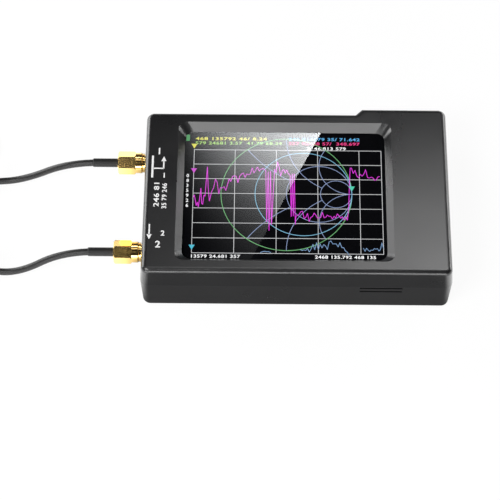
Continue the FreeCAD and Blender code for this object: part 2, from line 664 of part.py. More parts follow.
def make_rear_parts():
    """The jog switch, the power switch and the charging socket, under the board's rear edge."""
    inner = half_depth + bulge_depth - wall - board_gap
    outer = half_depth + bulge_depth
    low = board_bottom - rear_part_height
    half = jog_width / 2
    span_x = (jog_x - half, jog_x + half)
    housing = block("housing", span_x, (inner - jog_depth, inner), (low, board_bottom))
    half = half - jog_wall
    span_x = (jog_x - half, jog_x + half)
    well_z = (low + jog_wall - 0.1, board_bottom - jog_wall + 0.1)
    well = block("well", span_x, (inner - jog_well, inner + slot_margin), well_z)
    named("jog_housing", cut("jog_housing", housing, [well]))

    half = half - jog_play
    span_x = (jog_x - half, jog_x + half)
    span_y = (inner - jog_well + jog_travel + jog_play, inner - jog_play / 2)
    span_z = (well_z[0] + jog_play, well_z[1] - jog_play)
    carrier = block("carrier", span_x, span_y, span_z)
    gap = (span_z[0] + jog_shelf, span_z[1] - jog_shelf)
    pivot_y = inner - jog_eye_radius
    span_x = (jog_x - half - slot_margin, jog_x + half + slot_margin)
    span_y = (pivot_y - jog_eye_radius - jog_play, inner + slot_margin)
    mouth = block("mouth", span_x, span_y, gap)
    pin = cylinder("pin", (jog_x, pivot_y, gap[0]), jog_pin_radius, gap[1] - gap[0])
    named("jog_carrier", fuse("jog_carrier", [cut("carrier_blank", carrier, [mouth]), pin]))

    blade = (gap[0] + jog_play / 2, gap[1] - jog_play / 2)
    thickness = blade[1] - blade[0]
    eye = cylinder("eye", (jog_x, pivot_y, blade[0]), jog_eye_radius, thickness)
    arm_end = outer + jog_reach
    arm = block("arm", (jog_x - jog_arm / 2, jog_x + jog_arm / 2), (pivot_y, arm_end), blade)
    span_x = (jog_x - jog_head / 2, jog_x + jog_head / 2)
    span_y = (arm_end, arm_end + jog_reach / 2)
    head = block("head", span_x, span_y, (low + jog_wall - jog_play, board_bottom - jog_wall + jog_play))
    centre = (jog_x, pivot_y, blade[0] - slot_margin)
    hole = cylinder("hole", centre, jog_pin_radius + 0.06, thickness + slot_margin * 2)
    named("jog_lever", cut("jog_lever", fuse("lever_blank", [eye, arm, head]), [hole]))

    half = power_width / 2
    span_x = (power_x - half, power_x + half)
    housing = block("housing", span_x, (inner - power_depth, inner), (low, board_bottom))
    side_play = 0.2
    half = (power_foot + power_travel) / 2 + side_play
    well_y = (inner - power_depth / 2, inner + slot_margin)
    well = block("well", (power_x - half, power_x + half), well_y, (low + jog_wall, board_bottom - jog_wall))
    named("power_housing", cut("power_housing", housing, [well]))
    left = power_x - half + side_play
    span_z = (low + jog_wall + side_play, board_bottom - jog_wall - side_play)
    foot = block("foot", (left, left + power_foot), (well_y[0] + side_play, inner), span_z)
    knob_x = left + (power_foot - power_knob) / 2
    knob = block("knob", (knob_x, knob_x + power_knob), (inner, outer + power_reach), span_z)
    named("power_slider", fuse("power_slider", [foot, knob]))

    body = new_body("usb_socket")
    x = (usb_x - usb_width / 2, usb_x + usb_width / 2)
    z = (board_bottom - usb_height, board_bottom)
    face = -(outer - 0.2)
    base = pad(body, outline(body, "XZ_Plane", rectangle(x, z), face), usb_depth)
    fillet(body, base, usb_height * usb_round, lambda edge: edge.BoundBox.YLength > usb_depth.number / 2)
    mouth_x = (x[0] + usb_sheet, x[1] - usb_sheet)
    mouth_z = (z[0] + usb_sheet, z[1] - usb_sheet)
    back = outer - usb_depth + usb_back
    mouth = block("mouth", mouth_x, (back, outer + slot_margin), mouth_z)
    rounding = doc.addObject("Part::Fillet", "mouth_round")
    rounding.Base = mouth
    doc.recompute()
    radius = (usb_height * usb_round - usb_sheet).number
    rounding.Edges = [
        (i, radius, radius)
        for i, edge in enumerate(mouth.Shape.Edges, 1)
        if edge.BoundBox.YLength > usb_depth.number / 2
    ]
    named("usb_socket", cut("usb_socket", body, [rounding]))
    centre_z = board_bottom - usb_height / 2
    span_x = (usb_x - tongue_width / 2, usb_x + tongue_width / 2)
    span_z = (centre_z - tongue_thickness / 2, centre_z + tongue_thickness / 2)
    named("usb_tongue", block("usb_tongue", span_x, (back, outer - slot_margin), span_z))


def make_jack(number, y):
    """A threaded jack whose flange and legs hold the board's edge."""
    mouth = -(half_width + nut_mouth)
    front = mouth - jack_depth
    meeting = mouth - meeting_depth
    inner = -(half_width - wall - board_gap)
    collar_out = -(half_width + 0.1) - collar_length
    flange_in = inner + flange_thickness
    bore = insulator_radius + insulator_gap
    body = turned("jack_body", y, port_height, [
        (inner, bore), (meeting, bore), (meeting, ferrule_radius + sleeve_clearance),
        (front, ferrule_radius + sleeve_clearance), (front, thread_radius),
        (collar_out, thread_radius), (collar_out, collar_radius),
        (collar_out + collar_length, collar_radius), (collar_out + collar_length, barrel_radius),
        (inner, barrel_radius),
    ])
    groove_x = front + thread_pitch
    half = thread_pitch * 0.45
    notch = [
        (groove_x - half, thread_radius + 0.1),
        (groove_x, thread_radius - thread_depth),
        (groove_x + half, thread_radius + 0.1),
    ]
    sketch = outline(body, "XZ_Plane", notch, lift=-y, shift=(0, port_height))
    groove = body.newObject("PartDesign::Groove", "Groove")
    groove.Profile = sketch
    groove.ReferenceAxis = (sketch, ["H_Axis"])
    groove.Angle = 360.0
    doc.recompute()
    threads = body.newObject("PartDesign::LinearPattern", "LinearPattern")
    threads.Originals = [groove]
    threads.Direction = (origin_part(body, "X_Axis"), [""])
    turns = int((jack_depth.number - nut_mouth.number) / thread_pitch.number)
    threads.Occurrences = turns
    bind(threads, "Length", thread_pitch * (turns - 1))
    body.Tip = threads
    doc.recompute()
    half = flange_width / 2
    span_z = (port_height - half, port_height + half)
    flange = block("flange", (inner, flange_in), (y - half, y + half), span_z)
    opening = doc.addObject("Part::Cylinder", "opening")
    opening.Placement = FreeCAD.Placement(FreeCAD.Vector(), FreeCAD.Rotation(FreeCAD.Vector(0, 1, 0), 90))
    bind(opening, "Radius", bore)
    bind(opening, "Height", flange_thickness + 2)
    bind(opening, "Placement.Base.x", inner - 1)
    bind(opening, "Placement.Base.y", y)
    bind(opening, "Placement.Base.z", port_height)
    legs = []
    for side in (-1, 1):
        edge = y + half * side
        span = (edge, edge + leg_width) if side < 0 else (edge - leg_width, edge)
        for z in ((board_top, board_top + 1), (board_bottom - 1, board_bottom)):
            legs.append(block("leg", (flange_in, flange_in + leg_length), span, z))
    plate = cut("flange_plate", flange, [opening])
    named(f"jack_body_{number}", fuse("jack", [body, plate] + legs))
    named(f"jack_insulator_{number}", turned("jack_insulator", y, port_height, [
        (flange_in, contact_radius), (meeting, contact_radius),
        (meeting, insulator_radius), (flange_in, insulator_radius),
    ]))
    depth = meeting + pin_reach + 0.5
    tail = flange_in + leg_length - 0.5
    named(f"jack_contact_{number}", turned("jack_contact", y, port_height, [
        (meeting, pin_radius + pin_clearance), (depth, pin_radius + pin_clearance), (depth, 0),
        (tail, 0), (tail, tail_radius), (flange_in, tail_radius), (flange_in, contact_radius),
        (meeting, contact_radius),
    ]))


def make_plug(prefix, number, mouth, way, y, z, first_angle):
    """A screw-on plug. Its depths count from the nut's mouth towards the cable, along way."""
    def at(depth):
        return mouth + measure(depth) * way

    bore = insulator_radius + insulator_gap
    flange_front = jack_depth + 0.2
    lip_front = nut_length - nut_lip
    neck_end = nut_length + 0.15
    crimp_end = nut_length + crimp_length
    insulator_end = nut_length - 0.6
    named(f"{prefix}plug_body_{number}", turned("plug_body", y, z, [
        (at(meeting_depth), bore), (at(meeting_depth), ferrule_radius),
        (at(flange_front), ferrule_radius), (at(flange_front), plug_flange_radius),
        (at(lip_front - 0.1), plug_flange_radius), (at(lip_front - 0.1), neck_radius),
        (at(neck_end), neck_radius), (at(neck_end), crimp_radius), (at(crimp_end), crimp_radius),
        (at(crimp_end), 0), (at(insulator_end), 0), (at(insulator_end), bore),
    ]))
    named(f"{prefix}plug_insulator_{number}", turned("plug_insulator", y, z, [
        (at(meeting_depth), pin_radius), (at(meeting_depth), insulator_radius),
        (at(insulator_end), insulator_radius), (at(insulator_end), pin_radius),
    ]))
    named(f"{prefix}plug_pin_{number}", turned("plug_pin", y, z, [
        (at(meeting_depth - pin_reach), 0), (at(meeting_depth - pin_reach), pin_radius * 0.5),
        (at(meeting_depth - pin_reach + 0.4), pin_radius), (at(insulator_end), pin_radius),
        (at(insulator_end), 0),
    ]))
    corner = nut_flats / 2 / math.cos(math.pi / 6)
    nut_bore = thread_radius + thread_clearance
    blank = turned("nut_blank", y, z, [
        (at(0), nut_bore + nut_chamfer), (at(0), nut_round_radius - nut_chamfer),
        (at(nut_chamfer), nut_round_radius), (at(nut_round_length), nut_round_radius),
        (at(nut_round_length + nut_chamfer), corner), (at(nut_length - nut_chamfer), corner),
        (at(nut_length), corner - nut_chamfer), (at(nut_length), neck_radius + neck_clearance),
        (at(lip_front), neck_radius + neck_clearance), (at(lip_front), nut_bore),
        (at(nut_chamfer), nut_bore),
    ])
    around = doc.addObject("Part::Cylinder", "around")
    hexagon = doc.addObject("Part::Prism", "hexagon")
    length = nut_length - nut_round_length
    start = at(nut_round_length) if way > 0 else at(nut_length)
    along = FreeCAD.Rotation(FreeCAD.Vector(0, 1, 0), 90)
    turn = along * FreeCAD.Rotation(FreeCAD.Vector(0, 0, 1), first_angle)
    for thing in (around, hexagon):
        thing.Placement = FreeCAD.Placement(FreeCAD.Vector(), turn)
        bind(thing, "Height", length)
        for axis, value in zip("xyz", (start, y, z)):
            bind(thing, f"Placement.Base.{axis}", value)
    bind(around, "Radius", corner + 1)
    hexagon.Polygon = 6
    bind(hexagon, "Circumradius", corner)
    trim = cut("nut_trim", around, [hexagon])
    named(f"{prefix}coupling_nut_{number}", cut("coupling_nut", blank, [trim]))
    boot_start = nut_length + 0.2
    boot_end = boot_start + boot_length
    named(f"{prefix}sleeve_{number}", turned("sleeve", y, z, [
        (at(boot_start), crimp_radius + 0.02), (at(boot_start), boot_radius),
        (at(boot_end - 0.4), boot_radius), (at(boot_end), boot_radius - 0.15),
        (at(boot_end), cable_radius + 0.02), (at(crimp_end), cable_radius + 0.02),
        (at(crimp_end), crimp_radius + 0.02),
    ]))
    return at(crimp_end)


def bends(points):
    """The radius of the arc at each inner point: 0.45 of the shorter run over tan(half turn)."""
    radii = []
    for before, point, after in zip(points, points[1:], points[2:]):
        back = before - point
        ahead = after - point
        turn = math.pi - back.getAngle(ahead)
        radii.append(0.45 * min(back.Length, ahead.Length) / math.tan(turn / 2))
    return radii


def route_edges(points):
    """Straight runs joined by tangent arcs."""
    edges = []
    last = points[0]
    for before, point, after in zip(points, points[1:], points[2:]):
        back = (before - point).normalize()
        ahead = (after - point).normalize()
        reach = 0.45 * min((before - point).Length, (after - point).Length)
        turn = math.pi - back.getAngle(ahead)
        start = point + back * reach
        end = point + ahead * reach
        inward = (back + ahead).normalize()
        half_chord = reach * math.cos(turn / 2)
        crown = (start + end) * 0.5 - inward * (half_chord * math.tan(turn / 4))
        edges.append(Part.LineSegment(last, start).toShape())
        edges.append(Part.Arc(start, crown, end).toShape())
        last = end
    edges.append(Part.LineSegment(last, points[-1]).toShape())
    return edges


def sweep(edges, radius):
    """A round tube along tangent edges, checked against its section times its length."""
    wire = Part.Wire(edges)
    start = wire.Edges[0].valueAt(wire.Edges[0].FirstParameter)
    along = wire.Edges[0].tangentAt(wire.Edges[0].FirstParameter)
    ring = Part.Wire([Part.Circle(start, along, radius).toShape()])
    solid = wire.makePipeShell([ring], True, False)
    ideal = math.pi * radius**2 * wire.Length
    if abs(solid.Volume - ideal) > 0.01 * ideal:
        raise ValueError(f"a tube of {solid.Volume} should hold {ideal}")
    return solid, wire.Length


def tube(points, radius):
    return sweep(route_edges(points), radius)[0]


def biarc(start, start_way, end, end_way):
    """Two tangent arcs between two points with given directions."""
    span = end - start
    both = start_way + end_way
    square = 2 * (1 - start_way.dot(end_way))
    dot = span.dot(both)
    if square < 1e-9:
        reach = span.dot(span) / (4 * span.dot(end_way))
    else:
        reach = (-dot + math.sqrt(dot**2 + square * span.dot(span))) / square
    first = start + start_way * reach
    second = end - end_way * reach
    joint = (first + second) * 0.5
    return [arc(start, first, joint), arc(joint, second, end)]


def arc(start, corner, end):
    """The arc from start to end whose tangents meet at the corner."""
    middle_chord = (start + end) * 0.5
    half_chord = (end - start).Length / 2
    rise = corner - middle_chord
    if rise.Length < 1e-6:
        return Part.LineSegment(start, end).toShape()
    half_turn = math.atan(rise.Length / half_chord)
    crown = middle_chord + rise.normalize() * half_chord * math.tan(half_turn / 2)
    return Part.Arc(start, crown, end).toShape()


# Each lead's free stretch: how far left of the case, how far to the side of its port, and its
# share of the way up from the table to the port.
LEAD_ROUTES = {
    1: [(30.3, 0.0, 1.0), (50.0, 1.2, 0.0), (64.0, 0.0, 0.0)],
    2: [(30.5, 0.0, 1.0), (49.5, -1.4, 0.0), (63.5, 0.0, 0.0)],
}


def loop_place(y, turn):
    """A point of the loop after a share of a turn, seen from above clockwise from its front."""
    angle = 2 * math.pi * turn
    x = loop_x.number - loop_radius.number * math.sin(angle)
    side = y + loop_radius.number * (1 - math.cos(angle))
    share = min(max((turn - 0.4) / 0.5, 0), 1)
    z = cable_radius.number + loop_climb.number * (1 - math.cos(math.pi * share)) / 2
    return FreeCAD.Vector(x, side, z)


def make_lead(number, y_measure):
    """A coax lead from its port to the floor, round one put-away loop and into its far plug."""
    y = y_measure.number
    near_end = make_plug("", number, -(half_width + nut_mouth), -1, y_measure, port_height, 0)
    straight = 2 * cable_radius.number
    loop_start = FreeCAD.Vector(loop_x.number + straight, y, cable_radius.number)
    points = [FreeCAD.Vector(near_end.number, y, port_height.number)]
    lying = cable_radius.number
    for out, side, share in LEAD_ROUTES[number]:
        height = lying + share * (port_height.number - lying)
        points.append(FreeCAD.Vector(-half_width.number - out, y + side, height))
    points.append(loop_start)
    solid, length = sweep(route_edges(points), cable_radius.number)
    radii = [round(radius, 1) for radius in bends(points)]
    cable = doc.addObject("Part::Feature", "cable")
    cable.Shape = solid
    named(f"cable_{number}", cable)

    far_height = nut_round_radius
    tail = FreeCAD.Vector(loop_x.number - 12, y, far_height.number)
    left = FreeCAD.Vector(-1, 0, 0)
    steps = 8
    step = 1e-4
    edges = [Part.LineSegment(loop_start, loop_place(y, 0)).toShape()]
    for i in range(steps):
        first, second = i / steps, (i + 1) / steps
        start, end = loop_place(y, first), loop_place(y, second)
        start_way = (loop_place(y, first + step) - loop_place(y, first - step)).normalize()
        end_way = (loop_place(y, second + step) - loop_place(y, second - step)).normalize()
        edges += biarc(start, start_way, end, end_way)
    edges += biarc(loop_place(y, 1), left, tail, left)
    far_end = tail + left * straight
    edges.append(Part.LineSegment(tail, far_end).toShape())
    solid, loop_length = sweep(edges, cable_radius.number)
    coil = doc.addObject("Part::Feature", "coil")
    coil.Shape = solid
    named(f"coil_{number}", coil)
    wire = Part.Wire(edges)
    gap = least_gap(wire.discretize(Distance=0.5), 2 * cable_radius.number)
    print(f"lead {number}: bends {radii}, free {length:.1f}, loop {loop_length:.1f}, least gap {gap:.2f}")
    mouth = loop_x - 12 - 2 * cable_radius - nut_length - crimp_length
    make_plug("far_", number, mouth, 1, y_measure, far_height, 30)


def least_gap(spots, diameter):
    """The least gap between two stretches of the tube that are apart along it."""
    apart = 20
    nearest = min(
        (spots[j] - spots[i]).Length
        for i in range(len(spots))
        for j in range(i + apart, len(spots))
    )
    return nearest - diameter


def check():
    for thing in doc.Objects:
        if "Invalid" in thing.State or "Error" in thing.State:
            raise ValueError(f"{thing.Name} of {thing.Label} failed: {thing.State}")
    for label, thing in pieces.items():
        shape = thing.Shape
        if shape.isNull() or not shape.isValid() or shape.Volume <= 0:
            raise ValueError(f"{label} has no valid shape")


named("upper_shell", make_upper_shell())
named("lower_shell", make_lower_shell())
make_screws()
make_screen()
make_board()
make_battery()
make_rear_parts()
for port_number, (port_y, _) in enumerate(ports, 1):
    make_jack(port_number, port_y)
    make_lead(port_number, port_y)
doc.recompute()
check()
os.makedirs("parts", exist_ok=True)
for label, thing in pieces.items():
    thing.Shape.exportStep(f"parts/{label}.step")
print(len(pieces), "sub-parts")
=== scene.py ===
"""Looks of a pocket two-port antenna analyzer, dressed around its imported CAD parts.

Everything is in metres in the CAD frame: X to the right, Y to the rear, Z up, with the origin
in the middle of the case's underside.
"""

import json
import math

import bmesh
import bpy
import numpy as np
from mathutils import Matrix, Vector


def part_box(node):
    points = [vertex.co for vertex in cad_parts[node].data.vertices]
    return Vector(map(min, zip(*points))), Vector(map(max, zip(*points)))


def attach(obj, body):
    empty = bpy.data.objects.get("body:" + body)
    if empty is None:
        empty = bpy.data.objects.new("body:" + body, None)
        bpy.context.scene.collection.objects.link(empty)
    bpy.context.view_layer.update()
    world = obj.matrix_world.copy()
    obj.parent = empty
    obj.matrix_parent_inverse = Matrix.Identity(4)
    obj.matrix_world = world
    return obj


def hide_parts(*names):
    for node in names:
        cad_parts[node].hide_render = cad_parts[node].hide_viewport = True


MM = 0.001

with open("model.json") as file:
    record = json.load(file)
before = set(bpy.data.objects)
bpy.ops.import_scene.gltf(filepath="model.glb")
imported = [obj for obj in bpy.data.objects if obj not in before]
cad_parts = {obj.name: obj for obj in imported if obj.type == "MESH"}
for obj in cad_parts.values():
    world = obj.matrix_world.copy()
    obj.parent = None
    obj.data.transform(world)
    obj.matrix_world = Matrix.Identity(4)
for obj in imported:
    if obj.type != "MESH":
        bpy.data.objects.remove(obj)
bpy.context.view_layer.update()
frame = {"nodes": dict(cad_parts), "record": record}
nodes = frame["nodes"]


# Camera, as the photograph has it: 60 degrees above the bench, a little left of the middle.

CAMERA_PLACE = Vector((-0.01418, -0.40508, 0.68127))
CAMERA_ELEVATION = math.radians(60.0)
CAMERA_YAW = math.radians(-0.575)
PHOTO_SIDE = 500
FOCAL_PIXELS = 1964.6
SENSOR = 36.0


def make_camera():
    data = bpy.data.cameras.new("camera")
    data.sensor_width = SENSOR
    data.lens = FOCAL_PIXELS / PHOTO_SIDE * SENSOR
    data.clip_start = 0.01
    data.clip_end = 50
    camera = bpy.data.objects.new("camera", data)
    bpy.context.scene.collection.objects.link(camera)
    camera.location = CAMERA_PLACE
    forward = Vector((
        math.sin(CAMERA_YAW) * math.cos(CAMERA_ELEVATION),
        math.cos(CAMERA_YAW) * math.cos(CAMERA_ELEVATION),
        -math.sin(CAMERA_ELEVATION),
    ))
    camera.rotation_mode = "QUATERNION"
    camera.rotation_quaternion = forward.to_track_quat("-Z", "Y")
    bpy.context.scene.camera = camera


make_camera()
bpy.context.scene.view_settings.view_transform = "Standard"


# Small tools for node materials.

class Shader:
    """A node material that is built by name, with a Principled BSDF on its output."""

    def __init__(self, name):
        self.material = bpy.data.materials.new(name)
        self.material.use_nodes = True
        self.tree = self.material.node_tree
        self.surface = self.tree.nodes["Principled BSDF"]
        self.output = self.tree.nodes["Material Output"]
        place = self.node("ShaderNodeTexCoord")
        self.place = place.outputs["Object"]

    def node(self, kind, **inputs):
        made = self.tree.nodes.new(kind)
        for name, value in inputs.items():
            self.give(made, name.replace("_", " "), value)
        return made

    def give(self, node, name, value):
        """Set an input to a plain value or join it to another node's output."""
        socket = node.inputs[int(name)] if name.isdigit() else node.inputs[name]
        if isinstance(value, bpy.types.NodeSocket):
            self.tree.links.new(value, socket)
        else:
            socket.default_value = value

    def set(self, **inputs):
        for name, value in inputs.items():
            self.give(self.surface, name.replace("_", " "), value)

    def group(self, tree, **inputs):
        made = self.tree.nodes.new("ShaderNodeGroup")
        made.node_tree = tree
        for name, value in inputs.items():
            self.give(made, name.replace("_", " "), value)
        return made

    def ramp(self, factor, low, high):
        """A smooth step of a value between two limits, from 0 to 1."""
        made = self.node("ShaderNodeMapRange", Value=factor)
        made.interpolation_type = "SMOOTHSTEP"
        made.inputs["From Min"].default_value = low
        made.inputs["From Max"].default_value = high
        return made.outputs["Result"]

    def mix(self, factor, first, second):
        made = self.tree.nodes.new("ShaderNodeMix")
        made.data_type = "RGBA"
        self.give(made, "Factor", factor)
        for socket, value in ((made.inputs[6], first), (made.inputs[7], second)):
            if isinstance(value, bpy.types.NodeSocket):
                self.tree.links.new(value, socket)
            else:
                socket.default_value = value
        return made.outputs[2]


def effect_group(name, inputs, outputs):
    """An empty node group with named sockets, and the nodes that carry them."""
    tree = bpy.data.node_groups.new(name, "ShaderNodeTree")
    for socket, kind, value in inputs:
        made = tree.interface.new_socket(socket, in_out="INPUT", socket_type=kind)
        if value is not None:
            made.default_value = value
    for socket, kind in outputs:
        tree.interface.new_socket(socket, in_out="OUTPUT", socket_type=kind)
    return tree, tree.nodes.new("NodeGroupInput"), tree.nodes.new("NodeGroupOutput")


def grain_group():
    """Fine moulding grain: a bump normal and a slow drift of gloss."""
    tree, given, made = effect_group(
        "moulded_grain",
        [
            ("Vector", "NodeSocketVector", None),
            ("Grain per metre", "NodeSocketFloat", 4200.0),
            ("Strength", "NodeSocketFloat", 0.12),
            ("Depth", "NodeSocketFloat", 0.00002),
        ],
        [("Normal", "NodeSocketVector"), ("Drift", "NodeSocketFloat"), ("Grain", "NodeSocketFloat")],
    )
    links = tree.links
    grain = tree.nodes.new("ShaderNodeTexNoise")
    grain.inputs["Detail"].default_value = 3.0
    grain.inputs["Roughness"].default_value = 0.6
    links.new(given.outputs["Vector"], grain.inputs["Vector"])
    links.new(given.outputs["Grain per metre"], grain.inputs["Scale"])
    bump = tree.nodes.new("ShaderNodeBump")
    links.new(given.outputs["Strength"], bump.inputs["Strength"])
    links.new(given.outputs["Depth"], bump.inputs["Distance"])
    links.new(grain.outputs["Fac"], bump.inputs["Height"])
    drift = tree.nodes.new("ShaderNodeTexNoise")
    drift.inputs["Scale"].default_value = 38.0
    drift.inputs["Detail"].default_value = 4.0
    links.new(given.outputs["Vector"], drift.inputs["Vector"])
    links.new(bump.outputs["Normal"], made.inputs["Normal"])
    links.new(drift.outputs["Fac"], made.inputs["Drift"])
    links.new(grain.outputs["Fac"], made.inputs["Grain"])
    return tree


def wear_group():
    """Where edges have rubbed: a rounded normal set against the true one, broken by noise."""
    tree, given, made = effect_group(
        "edge_wear",
        [
            ("Vector", "NodeSocketVector", None),
            ("Radius", "NodeSocketFloat", 0.0005),
            ("Amount", "NodeSocketFloat", 1.0),
        ],
        [("Wear", "NodeSocketFloat")],
    )
    links = tree.links
    bevel = tree.nodes.new("ShaderNodeBevel")
    bevel.samples = 4
    links.new(given.outputs["Radius"], bevel.inputs["Radius"])
    geometry = tree.nodes.new("ShaderNodeNewGeometry")
    dot = tree.nodes.new("ShaderNodeVectorMath")
    dot.operation = "DOT_PRODUCT"
    links.new(bevel.outputs["Normal"], dot.inputs[0])
    links.new(geometry.outputs["Normal"], dot.inputs[1])
    edge = tree.nodes.new("ShaderNodeMapRange")
    edge.inputs["From Min"].default_value = 0.995
    edge.inputs["From Max"].default_value = 0.9
    links.new(dot.outputs["Value"], edge.inputs["Value"])
    noise = tree.nodes.new("ShaderNodeTexNoise")
    noise.inputs["Scale"].default_value = 600.0
    links.new(given.outputs["Vector"], noise.inputs["Vector"])
    times = tree.nodes.new("ShaderNodeMath")
    times.operation = "MULTIPLY"
    links.new(edge.outputs["Result"], times.inputs[0])
    links.new(noise.outputs["Fac"], times.inputs[1])
    scaled = tree.nodes.new("ShaderNodeMath")
    scaled.operation = "MULTIPLY"
    scaled.use_clamp = True
    links.new(times.outputs["Value"], scaled.inputs[0])
    links.new(given.outputs["Amount"], scaled.inputs[1])
    links.new(scaled.outputs["Value"], made.inputs["Wear"])
    return tree


GRAIN = grain_group()
WEAR = wear_group()


def gloss(shader, drift, low, high):
    made = shader.node("ShaderNodeMapRange", Value=drift)
    made.inputs["From Min"].default_value = 0.3
    made.inputs["From Max"].default_value = 0.7
    made.inputs["To Min"].default_value = low
    made.inputs["To Max"].default_value = high
    return made.outputs["Result"]


def plastic(name, dark, light, rough=(0.3, 0.4), grain=4200.0, strength=0.12, wear=0.4, shine=0.5):
    """Moulded plastic: fine grain, slow gloss drift and paler rubbed edges."""
    shader = Shader(name)
    fine = shader.group(GRAIN, Vector=shader.place, Grain_per_metre=grain, Strength=strength)
    rubbed = shader.group(WEAR, Vector=shader.place, Amount=wear)
    base = shader.mix(fine.outputs["Drift"], (*dark, 1), (*light, 1))
    paler = tuple(min(1.0, c * 1.8 + 0.02) for c in light)
    shader.set(
        Base_Color=shader.mix(rubbed.outputs["Wear"], base, (*paler, 1)),
        Roughness=gloss(shader, fine.outputs["Drift"], *rough),
        Normal=fine.outputs["Normal"],
        Specular_IOR_Level=shine,
    )
    return shader.material


def metal(name, dark, light, rough=(0.15, 0.3), grain=2500.0, strength=0.06):
    """Plated or bare metal: tone and gloss drift, faint tool marks and brighter edges."""
    shader = Shader(name)
    fine = shader.group(GRAIN, Vector=shader.place, Grain_per_metre=grain, Strength=strength)
    rubbed = shader.group(WEAR, Vector=shader.place, Amount=0.7)
    base = shader.mix(fine.outputs["Drift"], (*dark, 1), (*light, 1))
    paler = tuple(min(1.0, c * 1.15) for c in light)
    shader.set(
        Base_Color=shader.mix(rubbed.outputs["Wear"], base, (*paler, 1)),
        Metallic=1.0,
        Roughness=gloss(shader, fine.outputs["Drift"], *rough),
        Normal=fine.outputs["Normal"],
    )
    return shader.material


def glass():
    """Thin touch glass: clear, with a Fresnel gloss on its outer face and faint smears."""
    shader = Shader("touch_glass")
    smear = shader.node("ShaderNodeTexNoise", Vector=shader.place, Scale=60.0, Detail=6.0)
    shader.surface.inputs["Base Color"].default_value = (0, 0, 0, 1)
    clear = shader.node("ShaderNodeBsdfTransparent")
    clear.inputs["Color"].default_value = (0.94, 0.95, 0.96, 1)
    shine = shader.node("ShaderNodeBsdfGlossy", Roughness=gloss(shader, smear.outputs["Fac"], 0.004, 0.012))
    fresnel = shader.node("ShaderNodeFresnel", IOR=1.8)
    facing = shader.node("ShaderNodeNewGeometry")
    front = shader.node("ShaderNodeMath", **{"0": 1.0, "1": facing.outputs["Backfacing"]})
    front.operation = "SUBTRACT"
    share = shader.node("ShaderNodeMath", **{"0": fresnel.outputs["Fac"], "1": front.outputs["Value"]})
    share.operation = "MULTIPLY"
    both = shader.node("ShaderNodeMixShader", Fac=share.outputs["Value"])
    shader.tree.links.new(clear.outputs["BSDF"], both.inputs[1])
    shader.tree.links.new(shine.outputs["BSDF"], both.inputs[2])
    shader.tree.links.new(both.outputs["Shader"], shader.output.inputs["Surface"])
    return shader.material


def lit(name, colour, strength):
    """Pixels of the display, with the faint unevenness of a backlight."""
    shader = Shader(name)
    glow = shader.node("ShaderNodeTexNoise", Vector=shader.place, Scale=90.0)
    shader.set(
        Base_Color=(*(c * 0.1 for c in colour), 1),
        Emission_Color=(*colour, 1),
        Emission_Strength=gloss(shader, glow.outputs["Fac"], strength * 0.85, strength * 1.1),
        Roughness=0.5,
    )
    return shader.material


CASE = plastic(
    "case_plastic", (0.004, 0.004, 0.0045), (0.008, 0.008, 0.0085),
    rough=(0.26, 0.32), strength=0.05, wear=0.25,
)
MATT = plastic("matt_plastic", (0.02, 0.02, 0.022), (0.035, 0.035, 0.037), rough=(0.5, 0.62), strength=0.25)
PANEL = plastic(
    "panel_black", (0.002, 0.002, 0.003), (0.004, 0.004, 0.005),
    rough=(0.4, 0.5), strength=0.03, wear=0, shine=0.02,
)
BOARD = plastic(
    "board_mask", (0.01, 0.08, 0.03), (0.02, 0.14, 0.05), rough=(0.25, 0.4), grain=900, strength=0.2,
)
FILM = plastic("flex_film", (0.35, 0.16, 0.03), (0.5, 0.25, 0.05), rough=(0.3, 0.45))
WHITE = plastic("insulator_white", (0.75, 0.75, 0.72), (0.85, 0.85, 0.82), rough=(0.35, 0.5), wear=0.1)
FOAM = plastic(
    "foam_black", (0.02, 0.02, 0.02), (0.05, 0.05, 0.05), rough=(0.85, 0.95), grain=1800, strength=0.9,
)
WRAP = plastic("battery_wrap", (0.28, 0.29, 0.31), (0.4, 0.41, 0.43), rough=(0.25, 0.4))
WIRE = plastic("wire_red", (0.4, 0.02, 0.01), (0.55, 0.03, 0.02), rough=(0.3, 0.4))
SLEEVE = plastic(
    "sleeve_black", (0.005, 0.005, 0.005), (0.01, 0.01, 0.01), rough=(0.45, 0.6), grain=1500, shine=0.25,
)
JACKET = plastic(
    "cable_jacket", (0.006, 0.006, 0.006), (0.012, 0.012, 0.012), rough=(0.36, 0.48), grain=1200, shine=0.25,
)
GOLD = metal("gold_plate", (0.8, 0.5, 0.13), (0.96, 0.69, 0.27), rough=(0.08, 0.15), strength=0.03)
STEEL = metal("plated_steel", (0.5, 0.5, 0.52), (0.66, 0.66, 0.68), rough=(0.25, 0.4))
BLACK_STEEL = metal("black_steel", (0.06, 0.06, 0.065), (0.12, 0.12, 0.125), rough=(0.3, 0.45))
GLASS = glass()
PRINT = plastic("print_white", (0.62, 0.62, 0.62), (0.74, 0.74, 0.74), rough=(0.45, 0.6), grain=2600, wear=0)

FINISHES = {
    "case_plastic": CASE,
    "screen_glass": GLASS,
    "display": PANEL,
    "bright_metal": STEEL,
    "screw_steel": BLACK_STEEL,
    "foam": FOAM,
    "dark_plastic": MATT,
    "flex_film": FILM,
    "board_green": BOARD,
    "battery_wrap": WRAP,
    "white_plastic": WHITE,
    "wire_red": WIRE,
    "gold": GOLD,
    "sleeve_black": SLEEVE,
    "cable_black": JACKET,
}


def dress_nodes():
    """Give each CAD node the finish of its slot in the record."""
    for part in frame["record"]["subparts"]:
        piece = nodes[part["node"]]
        piece.data.materials.clear()
        piece.data.materials.append(FINISHES[part["material_slot"]])


dress_nodes()


# The two leads. Each cord's points are its route: along X, sideways from its port, height.

